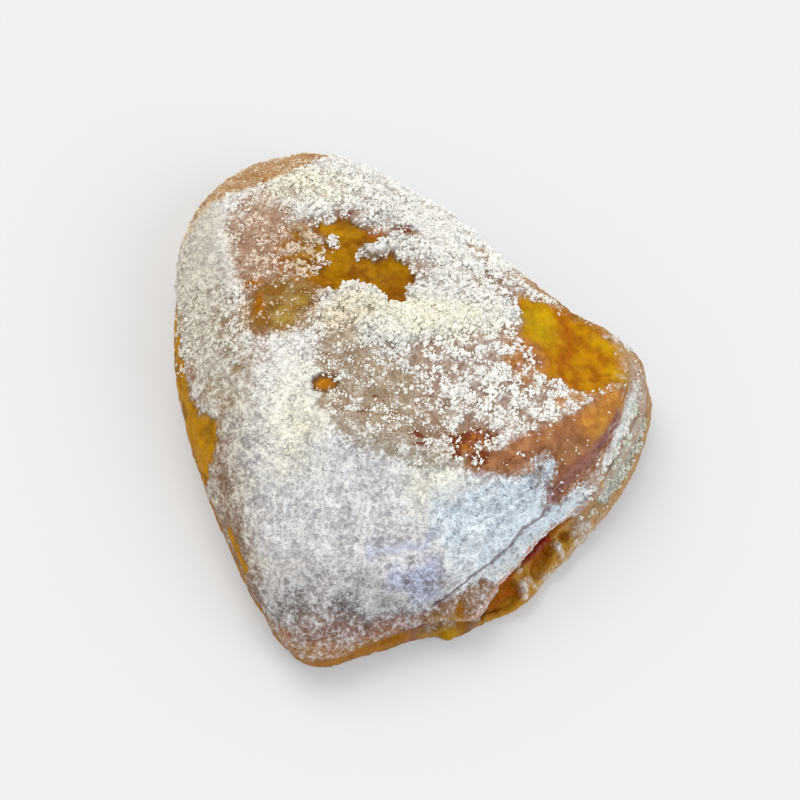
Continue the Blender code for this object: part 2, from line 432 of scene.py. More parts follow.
# %% [markdown]
# ## The heap and the clots
#
# Behind the front slope the sugar fell in one clump of rounded lumps, so each lump is half an
# ellipsoid and the tallest one counts. All thick sugar also clots. The absolute value of a smooth
# noise has round humps with sharp valleys between them, as clots have.

# %% Heap and clots
HEAP = (
    (2.8, Spot(-10.8, 7.4, 3.7, 3.2)), (1.2, Spot(-16.4, 6, 2.7, 2.3)), (1.6, Spot(-6.8, 5.8, 1.9, 2)),
    (1, Spot(-9.2, 2.2, 2.8, 2.2)), (0.7, Spot(-18, 9.4, 2.6, 1.1, 10)),
    (1.3, Spot(-3.2, 1.9, 5.2, 4.2)), (1.9, Spot(2, 10.6, 3.2, 2.8)), (1.4, Spot(6.6, 9, 3.8, 3)),
    (1, Spot(5.4, 3.2, 4.6, 3.6)), (1.1, Spot(11.6, 10, 3.8, 2.8, -20)),
    (1.1, Spot(17, 7.8, 4.4, 2.9, -20)), (1, Spot(12.4, 4.2, 4, 2.6)), (0.8, Spot(5.4, 15, 3.2, 1.8)),
    (0.5, Spot(-5, -3.6, 1.2, 1.1)), (0.5, Spot(-1.6, -7, 2, 1.5, 20)),
    (0.5, Spot(-13.6, -7.6, 0.8, 0.5, -30)), (0.8, Spot(-6, 23, 5.2, 1.4, -8)),
    (0.7, Spot(2.2, 21.6, 3.4, 1.5, -14)),
)
COARSE = (
    lay(0.8, 8, Spot(-14, 34, 22, 16, -25), Spot(-24, 12, 10, 14)),
    lay(1, 6, Spot(10, 3, 26, 22, -30), Spot(-10, 6, 12, 8), Spot(2, 24, 14, 12)),
    lay(0.9, 4, Spot(26, -14, 14, 6, 30)),
    lay(0.45, 6, Spot(6, 29, 9, 5, -42)),
    lay(0.1, 4, Spot(-24, -12, 6, 14), Band(((-46, 34), (-45.5, 16), (-44, 2)), 3)),
    lay(0.1, 2, BROWN_FIELD, Band(((33, -26), (38, -19), (43, -11), (46, -2)), 4)),
)


def heap_relief(places):
    tallest = np.zeros(len(places))
    for height, spot in HEAP:
        dome = np.sqrt(np.maximum(1 - spot_radius(places, spot) ** 2, 0))
        tallest = np.maximum(tallest, height * dome)
    return tallest


def humps(places, size, seed):
    """Round humps up to 1 with sharp valleys between them, about this many millimetres across."""
    return np.minimum(np.abs(lumps(places, size, seed, 2)) * 2.2, 1)


places, normals = points_of(skin)
frayed = ragged(places, 4.0, 1.0, seed=11)
crumbly = ragged(frayed, 1.2, 0.7, seed=15)
steady = ragged(places, 3.0, 0.25, seed=18)
heap = heap_relief(ragged(places, 2.6, 0.7, seed=21))
coarse = laid(frayed, 0.0, COARSE) * smooth_step((places[:, 1] + 28) / 5)
clots = humps(places, 1.9, seed=63)
print("The heap covers", round(float((heap > 0.3).mean() * 100), 1), "% of the skin")

# %% [markdown]
# ## How much sugar lies where
#
# Sugar falls straight down, so it covers what faces up and misses what is steep or tucked
# under. Then come the exceptions that this pastry shows: thin places where the warm dough
# melted it to a film, bare places, the heap, and the valleys between clots.

# %% Left side and baked spots
LEFT_SIDE = Band((
    (-50.5, 16, 14), (-49.5, 8, 16), (-48, 0, 16.5), (-45.5, -9.5, 15.5), (-43.5, -19, 13.5),
), 4.0)
LEFT_PATCH = Area((
    (-46, 2), (-44.6, -5), (-42.5, -10), (-39.4, -11.6), (-37.4, -13.8), (-38.4, -16.6), (-40, -20.5),
    (-44, -20),
))
LEFT_FOOT = Band(((-42.5, -18, 8), (-38.5, -28, 8), (-35.6, -36, 7), (-31.5, -46, 7), (-26.5, -53, 6)), 2.4)
LEFT_GOLD = Band(((-35.4, -33, 13.2), (-34.4, -37, 12.8), (-33.2, -41, 12.4)), 1.3)
BAKED_SPOTS = (
    Spot(-17.4, -10, 2.5, 1.8), Spot(-32, 14.7, 1.8, 0.6, 10), Spot(-30.4, 8.6, 0.9, 2),
    Spot(-37.5, 6.8, 0.7, 1), Spot(-34.8, -4.3, 1.1, 0.7), Spot(9.1, -49.1, 0.7, 1.2),
    Spot(-27.5, 33, 1.5, 0.7, 20),
)
CHARRED = (
    Spot(-3.8, -16.8, 1.9, 0.8, -20), Spot(0.6, -21.6, 1.5, 1, -20), Spot(-7.6, -13.2, 1.8, 0.8, -15),
    Spot(9, -21.8, 3, 1.3, 35), Spot(12.3, -19.6, 1.4, 1, 30), Spot(8.5, -25, 1.3, 2, 20),
    Spot(12.6, -26.3, 2.4, 1.2, 10), Spot(-9.4, -16.4, 2, 0.9, -15), Spot(1.2, -24.4, 2.2, 1, 10),
    Spot(14.6, -21, 2, 1, 20), Spot(-1.3, 27, 2.8, 0.9, -12), Spot(-13.6, 31.2, 2.4, 0.6, 10),
    Spot(-20.5, 29.6, 2.6, 0.5, 15), Spot(3.6, -13.5, 1, 0.5), Spot(18, -25.6, 1.6, 0.7, 30),
)

# %% Dust that fell from above
FILM_EDGE = Band(((-17, -18), (-12, -22.4), (-6, -25.4), (0, -27.2), (7, -28)), 2.6)
RIGHT_RIM = Band(((22, 19), (31, 13), (38, 8)), 2.4)
PALE_CORNER = Spot(42, 0, 4, 7)
BACK_DRIFT = Spot(-29, 35.5, 5, 2.5, 20)
THIN_BACK = (Spot(1.8, 16.8, 4, 2.6, -20), Spot(16.5, 13.8, 6.5, 4, -25))
THIN_FRONT = (Band(((3, -4), (3, -12), (5, -20)), 2.8), Spot(21, -1.5, 4.5, 6, 10))
DUST = (
    lay(0.95, 4, Spot(6, 28, 13, 5, -40), Spot(-43, 29, 4.5, 8)),
    lay(0.17, 3, TAN_BACK),
    lay(0.6, 5, Band(((-43, 12), (-39, 2), (-36, -8), (-35, -20), (-34, -28)), 5)),
    lay(0.27, 5, Spot(-34, 6, 6, 7)),
    lay(0.15, 4, ROSY_SLOPE),
    lay(0.45, 4, BACK_DRIFT),
    lay(0.36, 4, *THIN_BACK),
    lay(0.32, 6, Spot(17, -7, 16, 12, -15)),
    lay(0.13, 4, *THIN_FRONT),
    lay(0.15, 5, DULL_FILM),
    lay(0.78, 8, Area(((-32, -22), (-20, -22), (0, -31), (16, -33), (22, -36), (4, -44), (-22, -44)))),
    lay(0.27, 5, FILM_EDGE),
    lay(0.28, 4, Band(((-38, -18), (-36.5, -30), (-33, -40), (-29, -50)), 2)),
    lay(0.36, 6, Area(((-28, -50), (-20, -47.5), (-12, -50), (-7, -54), (-4, -60), (-28, -60)))),
    lay(0.24, 3, Band(((-12, -53.5), (-4, -52), (2, -50)), 1.6)),
    lay(0.56, 4, Spot(0.5, -46, 5, 2.5, 15), Spot(-8.5, -42.5, 5, 2.2, 10)),
    lay(0.68, 3, Spot(-20.8, -37, 3, 2.5)),
    lay(0.45, 4, Spot(-30.5, -22, 3.5, 3.4), Spot(-31, -1.5, 3.5, 3)),
    lay(0.32, 3, Spot(-38, 6.5, 2.6, 4.5), Band(((-45.5, 3), (-43.8, -3)), 1)),
    lay(0.32, 2, Band(((-49, 17), (-47, 8)), 1.6)),
    lay(0.26, 3, Spot(13.6, 13.6, 3, 2)),
    lay(0.12, 3, Spot(44, 0, 5, 6.5), RIGHT_RIM),
    lay(0.26, 3, Band(((-22, -58), (-12, -57.5), (-4, -54), (4, -51.5)), 1.5)),
    lay(0.36, 4, Band(((12, 25), (18, 20.5), (22, 16)), 2.2)),
    lay(0.2, 4, Spot(24, -7, 6, 4, -20)),
    lay(0.28, 4, Band(((29, -12.5), (34, -10.5), (38, -8)), 2)),
    lay(0.4, 4, Band(((-41, -6), (-37, -9.5), (-34.5, -15)), 2)),
    lay(1, 3, Spot(-23.6, -14.5, 10, 4.9, 80), Spot(-23, -24, 6, 4, 20),
        Spot(-19.4, -19.6, 4, 3.4)),
    lay(0.42, 3, Spot(-19, 2.4, 3.5, 2.6), Spot(-20.6, -8.4, 1.6, 2.2)),
    lay(0.8, 2.4, Spot(-42.6, 39.4, 2.6, 2, 30), Spot(-45, 33.5, 2, 4)),
    lay(0.1, 2, Spot(-9, -17, 2.5, 1.6, -15)),
    lay(0.96, 4, Band(((12, -37), (18, -33), (26, -27)), 4.5), Spot(7, -33, 7, 4),
        Spot(15.5, -39.5, 4, 2, 45)),
    lay(0.46, 2.5, Band(((18.5, -27), (23, -26), (26, -29.6)), 1.7)),
    lay(0.6, 3, Spot(-5, 7, 9, 5, -8), Spot(8, 7, 11, 5.5, -12)),
)

# %% Dust on the walls
STREAK_ONE = Band(((44.8, -3.6, 18.8), (43.2, -9, 18.7), (41, -13, 18.6), (38.7, -19, 17.2)), 1.1)
STREAK_TWO = Band(((47.6, -5, 11), (45, -10, 10.6), (42, -16.5, 10), (38, -23, 9)), 1.3)
LIP_BAND = Band((
    (14.5, -41.8, 12.8), (19, -38.4, 13.4), (24.4, -33, 14), (30, -28, 14.6), (33, -25.5, 14.6),
), 1.15)
WALL_DUST = (
    lay(0.28, 3, Band(((44.6, -4.5, 18), (46, -7, 16.5), (43.3, -12.5, 16.8), (38.5, -21, 15),
        (35, -25, 13.5)), 3.5)),
    lay(0.04, 3, Band(((49, 0, 9), (45, -13, 8), (38, -25, 7), (31, -32, 6), (18, -46, 4), (6, -52, 4)),
        5.5)),
    lay(0.3, 2, Band(((24, -42.5, 3), (28, -37, 3.5), (33, -32, 4), (38, -26, 5)), 1.2)),
    lay(0.38, 1.5, *RIDGES, Spot(33.5, -29, 2.4, 1.6, 45)),
    lay(0.97, 1, LIP_BAND),
    lay(0.03, 0.7, Band(UNDER_LIP, 0.9)),
    lay(0.03, 3, BROWN_FIELD),
    lay(0.88, 1.5, STREAK_ONE, STREAK_TWO),
    lay(0.24, 1.4, LOBE),
    lay(0.04, 1.2, Band(((-4, -54.6, 4.5), (2, -53.4, 4.5), (6.5, -52.4, 4.5), (12, -50.6, 4.5)), 2.2)),
)

# %% Bare places
BARE = (
    lay(0.04, 4, OLIVE_FILM),
    lay(0, 1.4, HOLLOW),
    lay(0, 3.2, RIGHT_BARE),
    lay(0.14, 3, HOLLOW_LEFT),
    lay(0.5, 1, CRUMB_BRIDGE),
    lay(0.34, 1.2, *BROWN_RIM),
    lay(0, 1.4, LEFT_SIDE, LEFT_PATCH, LEFT_FOOT, LEFT_GOLD),
    lay(0.1, 2, Spot(11.4, -21.4, 4.6, 3.6, 60)),
    lay(0.03, 1.2, *CHARRED),
)
BRIGHTEST = (lay(1, 4, Spot(3, 3.6, 11, 4.2, 2), Spot(5.5, 22, 4, 2.5, -30)),)

# %% The cover
def cover_of(places, normals):
    """The share of each point that loose sugar covers, from 0 to 1. The walls behind hold less."""
    cover = laid(frayed, 0.76, DUST)
    on_front = smooth_step((normals[:, 2] + 0.30) / 0.5)
    on_back = smooth_step((normals[:, 2] + 0.05) / 0.75)
    cover *= on_front + (on_back - on_front) * smooth_step(normals[:, 1] / 0.3)
    cover *= smooth_step((places[:, 2] - 5.5) / 3)
    cover = laid(steady, cover, WALL_DUST)
    cover = laid(steady, laid(crumbly, cover, BARE), (lay(0.0, 1.2, *BAKED_SPOTS),))
    cover += (1 - cover) * smooth_step(heap / 0.9)
    cover *= 1 - 0.45 * coarse * (1 - smooth_step(clots / 0.35))
    return laid(frayed, cover, BRIGHTEST)


cover = cover_of(places, normals)
print("Sugar covers", round(float(cover.mean() * 100)), "% of the skin")

# %% [markdown]
# ## Dents, layers and folds
#
# Brushes run from large to small. After the heap, the open edge gets its crease, its rim, the
# hollow under the lip and its folds. Then the bare crust gets its wrinkles, the sugar gets its
# thickness, the steep side gets the fine ledges of the dough's layers, and the powder beside
# the crease gets its ridges.

# %% Folds and furrows
FURROWS = (
    Band(((-8, -42.4), (-2.5, -41.5), (1.5, -40.6), (4.5, -38.8)), 0.7),
    Band(((-17, -44.4), (-13.5, -45), (-6.5, -49.6)), 0.8),
    Band(((3.5, -33.5), (13, -35.5), (18, -31.5)), 0.5),
    Band(((-26, -42.5), (-21, -43.8)), 0.8),
)
FOLDS = (
    lay(-0.9, 1.6, HOLLOW),
    lay(-1.6, 3, Spot(-3.7, 10.5, 1.8, 3)),
    lay(-0.8, 2, Band(((-19.5, 0.5), (-14.5, -0.5), (-12.6, 2.6)), 0.8)),
    lay(-0.4, 1.5, RIGHT_BARE),
    lay(-0.7, 1, BAKED_SPOTS[0]),
    lay(0.25, 1.4, Band(CREASE, 0.9)),
    lay(-0.7, 0.7, Band(CREASE, 0.12)),
    lay(-1.9, 1.2, Band(UNDER_LIP, 0.8)),
    lay(0.35, 0.8, Band(LIP, 0.4)),
    lay(-2.2, 1.6, *POCKETS),
    lay(0.4, 1.2, *RIDGES),
    lay(-0.5, 1, Band(WALL_LINE, 0.25)),
    lay(-0.7, 1.4, Band(((46.4, -8, 12.5), (43.5, -13.5, 12.5), (39, -22, 11.6)), 0.4)),
    lay(0.5, 3, Band(CREST, 0.8)),
    lay(-0.9, 2.4, *FURROWS),
    lay(-0.9, 1.6, Band(((9.6, -28), (10.6, -31), (12.5, -33.6), (18, -34.2)), 0.4)),
    lay(1.2, 2.4, Spot(6, -29, 4.5, 3, 20), Spot(18, -29.5, 5, 1.6, 35), Spot(13.5, -36.8, 3.5, 1.2, 45)),
    lay(0.9, 1.6, Band(((21.5, -27), (23.5, -25.6), (25, -24.6)), 0.6),
        Band(((15.5, -34.2), (20, -31.2), (24.5, -28)), 0.5)),
    lay(-0.5, 2, Band(((30, 9.3), (31.8, 2.7), (29.5, -5)), 0.4)),
    lay(0.6, 4, Spot(-20, -38.5, 5, 2, 15), Spot(-3, -46, 4, 2, 10), Spot(3, -42.5, 3, 1.5),
        Spot(20, -30, 3, 2, 40)),
)

# %% Brushes
SLID_POWDER = Band(((9, -37.5), (17, -33.5), (25, -28)), 4.5)
RIDGE_HEIGHT, RIDGE_SIZE, RIDGE_STRETCH = 1.4, 2.1, 0.45
LAYER_STEP, LAYER_DEPTH = 1.5, 0.28


def layer_ledges(places, normals):
    """Thin ledges that follow the dough's layers on the steep side of an open edge."""
    wavy = places[:, 2] + 0.9 * lumps(places, 9, seed=41, octaves=2)
    ledge = np.abs(((wavy / LAYER_STEP) % 1) - 0.5) * 2
    return LAYER_DEPTH * (ledge - 0.5) * open_side(places, normals)


def open_side(places, normals):
    """1 on the steep right side, where the dough was cut and its layers show."""
    steep = smooth_step((0.80 - normals[:, 2]) / 0.35)
    return steep * smooth_step((places[:, 0] - 30) / 8) * smooth_step((places[:, 2] - 2) / 3)


def crust_wrinkles(places, cover):
    wide = lumps(places, 5.0, seed=51, octaves=2) * 0.28
    fine = (1 - np.abs(lumps(places, 2.2, seed=52, octaves=2))) ** 2 * 0.30
    return wide + (fine - 0.15) * (1 - cover)


def sugar_thickness(places, cover, coarse):
    swells = lumps(places, 4.5, seed=62, octaves=2)
    soft = 0.12 + 0.42 * lumps(places, 1.9, seed=61, octaves=3) + 0.40 * swells
    clotted = 0.85 * clots + 0.20 * swells
    return (soft + (clotted - soft) * coarse) * smooth_step((cover - 0.2) / 0.5)


def slid_ridges(places):
    """Powder that slid down the slope beside the crease and stuck there, in ridges along the crease."""
    run = Vector(CREASE[-1]) - Vector(CREASE[0])
    along = (places[:, 0] * run.x + places[:, 1] * run.y) / run.length
    across = (places[:, 1] * run.x - places[:, 0] * run.y) / run.length
    ridges = humps(np.stack([along * RIDGE_STRETCH, across, places[:, 2]], axis=1), RIDGE_SIZE, seed=67)
    clear_of_crease = smooth_step((line_distance(places, CREASE) - 0.8) / 1.2)
    return RIDGE_HEIGHT * (ridges - 0.5) * share_of(places, lay(1, 4.0, SLID_POWDER)) * clear_of_crease


layered = open_side(places, normals)
relief = heap * (0.85 + 0.25 * humps(places, 3.4, seed=65)) + piled(steady, FOLDS)
wrinkles, thickness = crust_wrinkles(places, cover), sugar_thickness(places, cover, coarse)
relief += wrinkles + thickness + layer_ledges(places, normals)
relief += slid_ridges(places)
relief *= smooth_step(places[:, 2] / 1.5)
skin.data.vertices.foreach_set("co", ((places + normals * relief[:, None]) * MM).ravel())
skin.data.update()
places, normals = points_of(skin)
print("Dents and heaps reach from z", places[:, 2].min().round(2), "to", places[:, 2].max().round(2))

# %% [markdown]
# ## The colours of the dough
#
# Baked dough isn't one brown. It is gold where butter pooled, orange to red where a thin edge
# caught the heat, and dull beige or grey where melted sugar dried on it. The washes below say
# so place by place. Where the crust is mottled, the wash itself is a mixture of two colours.
# In the pockets under the lip the red and orange also darken towards the lip, as painted shade.

# %% Dough colours
def srgb(red, green, blue):
    """A colour as a picture states it, 0 to 255, as the linear light that Blender wants."""
    def linear(v):
        v /= 255
        return v / 12.92 if v <= 0.04045 else ((v + 0.055) / 1.055) ** 2.4
    return np.array((linear(red), linear(green), linear(blue)))


def patchy(under, over, size, seed, share=0.5):
    """At each point, one colour with patches of another over this share of it."""
    patches = smooth_step((lumps(places, size, seed, 3) + share - 0.35) / 0.3)
    return under + (over - under) * patches[:, None]


BAKED = srgb(160, 114, 74)
UMBER = srgb(112, 70, 34)
ROSY_FILM, LILAC_FILM, GREY_FILM = srgb(164, 128, 104), srgb(168, 142, 124), srgb(161, 141, 117)
ASHEN, LEFT_GREY = srgb(148, 145, 150), srgb(160, 136, 104)
DOUGH = (
    lay(srgb(158, 130, 112), 8, Spot(8, 4, 28, 24, -30), Spot(-12, 34, 24, 18, -20)),
    lay(srgb(178, 132, 84), 4, TAN_BACK),
    lay(LEFT_GREY, 5, Band(((-45, 20), (-42, 8), (-39, 0), (-36, -12), (-34, -28)), 5)),
    lay(srgb(150, 124, 98), 5, Spot(-35, 6, 7, 8)),
    lay(ROSY_FILM, 5, ROSY_SLOPE),
    lay(ASHEN, 6, Area(((-38, -14), (-20, -16), (0, -24), (14, -31), (26, -27), (22, -36), (4, -47),
        (-24, -47)))),
    lay(srgb(134, 104, 80), 5, Band(((-38, -18), (-36, -30), (-32, -40), (-28, -50)), 2.5)),
    lay(srgb(112, 104, 100), 6, Band(((-26, -49), (-12, -51), (2, -49)), 4)),
    lay(srgb(136, 92, 70), 2.6, Band(((-22, -55.6), (-12, -55), (-2, -52), (4, -50.4)), 1.5)),
    lay(srgb(164, 110, 42), 4, Band(((-30, -52, 8), (-22, -59, 8), (-12, -58, 7), (-4, -54, 6)), 4)),
    lay(srgb(158, 148, 130), 5, FILM_EDGE),
    lay(GREY_FILM, 6, DULL_FILM),
    lay(srgb(148, 122, 98), 4, Spot(3.5, -21.5, 5.5, 3, 10), Spot(-19, 2.4, 4, 3)),
    lay(srgb(166, 126, 86), 4, Spot(21.5, -4, 4, 6, 10)),
    lay(srgb(182, 124, 56), 3, Band(((30, -12.5), (34, -10.5), (38, -8)), 2)),
    lay(srgb(150, 104, 76), 2, Band(((-47.6, 10), (-46.2, 2), (-43.6, -6)), 1.2)),
    lay(srgb(166, 118, 56), 3, Band(((13, 25), (22, 19), (31, 13), (38, 8), (44, 2)), 2.6)),
    lay(srgb(182, 140, 88), 3, Spot(44, 0, 5, 6.5, 10)),
    lay(srgb(184, 156, 136), 3, Band(((45, 0, 18), (46, -7, 16.5), (43.3, -12.5, 16.8), (38, -22, 14)),
        3.5)),
    lay(srgb(180, 142, 98), 3, Band(((49, 0, 8), (45, -13, 8), (38, -25, 7), (33, -30, 6.5)), 4.5)),
    lay(srgb(178, 130, 44), 3, Band(((30, -33, 6), (18, -46, 4), (6, -52, 4)), 4.5)),
    lay(srgb(136, 100, 68), 1.6, LOBE),
    lay(ASHEN, 1.6, Band(((16, -41, 13), (24.4, -33, 14), (33, -25.5, 14.6)), 2)),
)

# %% Buttery places
BUTTERY = (
    lay(patchy(srgb(136, 92, 26), srgb(148, 116, 68), 2.8, 91, 0.4), 5, OLIVE_FILM),
    lay(patchy(srgb(156, 100, 30), LILAC_FILM, 2, 92, 0.35), 3, HOLLOW_LEFT),
    lay(patchy(srgb(168, 116, 0), srgb(136, 84, 0), 2.6, 93), 1.8, HOLLOW),
    lay(srgb(158, 100, 0), 3, Spot(-3, 12, 2.6, 4), Spot(-17, 15.5, 4, 1.5, 20)),
    lay(srgb(178, 128, 2), 3, Spot(-3, 18.6, 3.5, 1.6), Spot(-14, 27, 3, 1.2),
        Spot(-13, 16, 2.4, 1.2)),
    lay(srgb(166, 136, 62), 2, Spot(-25.5, 5.5, 1.6, 2.6, 20), Spot(-22.5, 8.8, 2, 1.2)),
    lay(srgb(162, 100, 0), 1.5, Spot(-30.4, 8.6, 1.2, 2.4), Spot(-32, 14.7, 2.2, 1, 10)),
    lay(patchy(srgb(184, 124, 0), srgb(164, 98, 0), 2.4, 94, 0.4), 2.4, RIGHT_BARE),
    lay(srgb(182, 144, 0), 3.5, Spot(25.4, 6, 3.4, 5.5, 15)),
    lay(srgb(198, 152, 4), 3, Spot(26.5, 8.5, 1.3, 2), Spot(38.6, 3.4, 2.6, 1, -30),
        Spot(40.5, -4, 1.2, 3, 10)),
    lay(srgb(166, 92, 6), 2, Band(((30.2, 10), (31.6, 3), (29.5, -5)), 0.9), Spot(24.5, -3.5, 2, 3, 20)),
    lay(patchy(srgb(186, 126, 60), srgb(158, 102, 60), 1.6, 95), 3, Spot(22.5, -4, 4, 5)),
    lay(srgb(184, 126, 14), 2, Band(((39, -9.5), (38.5, -12.5), (36, -16)), 2)),
    lay(patchy(srgb(184, 130, 0), srgb(150, 104, 0), 3, 96, 0.3), 2, LEFT_SIDE, LEFT_PATCH),
    lay(srgb(170, 112, 14), 1.5, LEFT_FOOT),
    lay(srgb(184, 128, 4), 1.2, LEFT_GOLD),
    lay(srgb(152, 98, 10), 1.5, Band(((-11, -57, 6), (-6, -54.6, 6.5), (-2.5, -53, 6.5)), 1.4),
        Spot(9.1, -49.1, 0.9, 1.5)),
    lay(srgb(168, 122, 14), 2, Spot(6.5, -51.8, 3, 2)),
    lay(srgb(178, 98, 12), 1.5, Spot(12.8, -23.4, 1.6, 1), Spot(-7, 26.6, 2.6, 1, -15)),
)

# %% Edges
EDGES = (
    lay(patchy(srgb(170, 118, 76), srgb(150, 98, 62), 1.8, 97), 2, BROWN_FIELD),
    lay(patchy(srgb(202, 140, 52), srgb(186, 120, 52), 1.6, 98), 3,
        Band(((34, -17), (37.5, -14), (40, -9.5)), 2)),
    lay(patchy(srgb(154, 104, 90), srgb(136, 84, 74), 1.4, 99), 2.5, Band(PINK_STREAK, 2)),
    lay(patchy(srgb(176, 104, 20), srgb(128, 62, 24), 1, 90), 1.5, Spot(11.4, -22.6, 3.4, 2.2, 30)),
    lay(UMBER, 1.4, Spot(-17.4, -10, 3, 2.3)),
    lay(srgb(184, 118, 16), 1.2, Spot(-17.2, -10, 1.7, 1.1)),
    lay(srgb(190, 132, 62), 0.7, Band(((37.2, -18.3, 20), (37.4, -20.5, 17), (37.4, -23.4, 14)), 0.45)),
    # The pockets under the lip: the fringe's own red, orange and gold, with painted shade that makes them
    # darkest just under the lip.
    lay(srgb(156, 92, 0), 1.6, *POCKETS),
    lay(srgb(158, 96, 14), 0.8, Band(UNDER_LIP, 1.2)),
    lay(srgb(138, 40, 0), 1.2, Band(((22.4, -38.2, 11), (24.6, -36, 11), (26.6, -33.8, 10.6)), 1.3)),
    lay(srgb(150, 66, 0), 1.2, Band(((17.2, -44.4, 9.6), (19.4, -42, 9.6)), 1.3)),
    lay(srgb(188, 96, 4), 1.2, Band(((24.2, -37, 7), (26.8, -34, 7.6)), 0.9),
        Band(((17, -45.6, 5.8), (19.4, -42.8, 6.2)), 0.9)),
    lay(srgb(184, 134, 30), 1.2, Band(((27.2, -35.8, 5), (25.6, -38.2, 4.4)), 0.8),
        Band(((20.2, -43.8, 4.2), (18.6, -46, 3.6)), 0.9)),
    lay(srgb(206, 174, 138), 1, *RIDGES),
    lay(srgb(192, 156, 108), 2, Band(((24, -42.5, 3), (28, -37, 3.5), (33, -32, 4), (38, -26, 5)), 1.4)),
)

# %% [markdown]
# ## The colours of the sugar
#
# Thick sugar is a warm white. The washes below also paint light and shade into it: warm cream
# where the lamp lights the heap, a blue tint on the slope beside the crease, where only the
# window lights it, and grey to greenish grey painted shade on the front slope, down the left
# fold, on the right wall and in the furrows.

# %% Sugar colours
FRESH = srgb(251, 248, 241)
SUGAR_AND_PAINTED_LIGHT = (
    # Painted shade: the sugar is greyer on the front slope, down the left fold and lowest at the front,
    # which face away from the lamp.
    lay(srgb(234, 232, 229), 8, Area(((-46, -10), (-20, -22), (8, -30), (46, -20), (40, -60),
        (-46, -60)))),
    lay(srgb(230, 224, 208), 6, Band(((-45, 34), (-44, 16), (-40, 2), (-37, -10), (-37, -26)), 6)),
    lay(srgb(222, 213, 198), 6, Band(((-40, -20), (-36, -34), (-28, -50)), 4)),
    lay(srgb(214, 210, 206), 8, Area(((-36, -45), (-20, -44), (0, -47), (8, -46), (4, -60), (-36, -60)))),
    # Warm cream on the heap and the thick patches: thick sugar's own warm white, brightened with painted
    # lamp light.
    lay(srgb(255, 251, 233), 6, Spot(2, 3.6, 14, 5, -2), Spot(-22, 39, 9, 5, -10)),
    lay(srgb(253, 242, 220), 5, Spot(-13, 4, 6, 4)),
    lay(srgb(255, 251, 234), 8, Spot(-22, -17, 10, 6, 80), Spot(6, -32, 7, 4)),
    # Painted light: a blue tint where the window lights the slope beside the crease. Painted shade:
    # grey-blue in the furrows.
    lay(srgb(242, 251, 255), 6, Band(((10, -37), (18, -33), (26, -27)), 5.5)),
    lay(srgb(206, 210, 228), 2.5, FURROWS[0], Spot(1, -46, 5, 2.5, 15)),
    # Painted shade: greenish grey on the right wall, away from the lamp.
    lay(srgb(222, 222, 206), 3, Band(((48, 0, 12), (45, -12, 12), (38, -23, 10)), 6)),
    lay(srgb(230, 208, 178), 3, HOLLOW_LEFT, OLIVE_FILM),
    lay(srgb(236, 216, 194), 4, Spot(-31, 25, 12, 6, 100), Spot(42, 0, 4, 6)),
    lay(srgb(236, 214, 180), 3, TAN_BACK),
)


def set_attribute(piece, name, values):
    """Give every point of a piece a number or a colour that its finish can read."""
    values = np.asarray(values, np.float32)
    if values.ndim == 1:
        piece.data.attributes.new(name, "FLOAT", "POINT").data.foreach_set("value", values)
    else:
        colours = np.concatenate([values, np.ones((len(values), 1), np.float32)], axis=1)
        piece.data.attributes.new(name, "FLOAT_COLOR", "POINT").data.foreach_set("color", colours.ravel())


# Where the lip's painted highlight runs, along its thin edge.
rim = share_of(steady, lay(1, 0.5, Band(LIP, 0.30)))
dough_colour = laid(steady, laid(crumbly, BAKED, DOUGH + BUTTERY), EDGES)
# The sugar colour, with the painted light and shade of its washes.
sugar_and_light_colour = laid(ragged(places, 7, 2.5, seed=81), FRESH, SUGAR_AND_PAINTED_LIGHT)
for name, values in (("cover", cover), ("coarse", coarse), ("layered", layered), ("dough", dough_colour),
                     ("sugar", sugar_and_light_colour), ("char", share_of(frayed, lay(1, 1.6, *CHARRED))),
                     ("crease", side_distance(steady, CREASE)), ("rim", rim),
                     ("seam", line_distance(steady, WALL_LINE))):
    set_attribute(skin, name, values)
print("The skin carries", [a.name for a in skin.data.attributes if not a.is_internal])

# %% [markdown]
# ## Shader maths as plain expressions
#
# A material is a tree of small nodes, and a sum of three noises would take a screenful of
# links. This class wraps a socket so that masks are written as arithmetic, and one method adds
# any other node.

# %% Shader maths
class Wire:
    """An output socket that can be added, multiplied and compared as a number can."""

    def __init__(self, finish, socket):
        self.finish, self.socket = finish, socket

    def maths(self, operation, *others):
        return self.finish.add("ShaderNodeMath", {"operation": operation}, dict(enumerate((self, *others))))

    def __add__(self, other):
        return self.maths("ADD", other)

    def __sub__(self, other):
        return self.maths("SUBTRACT", other)

    def __rsub__(self, other):
        return self.finish.number(other).maths("SUBTRACT", self)

    def __mul__(self, other):
        return self.maths("MULTIPLY", other)

    __radd__, __rmul__ = __add__, __mul__

    def other(self, name):
        """Another output of the same node."""
        return Wire(self.finish, self.socket.node.outputs[name])

    def step(self, low, high):
        """0 below low, 1 above high, and smooth between."""
        sockets = {"Value": self, "From Min": low, "From Max": high}
        return self.finish.add("ShaderNodeMapRange", {"interpolation_type": "SMOOTHSTEP"}, sockets)


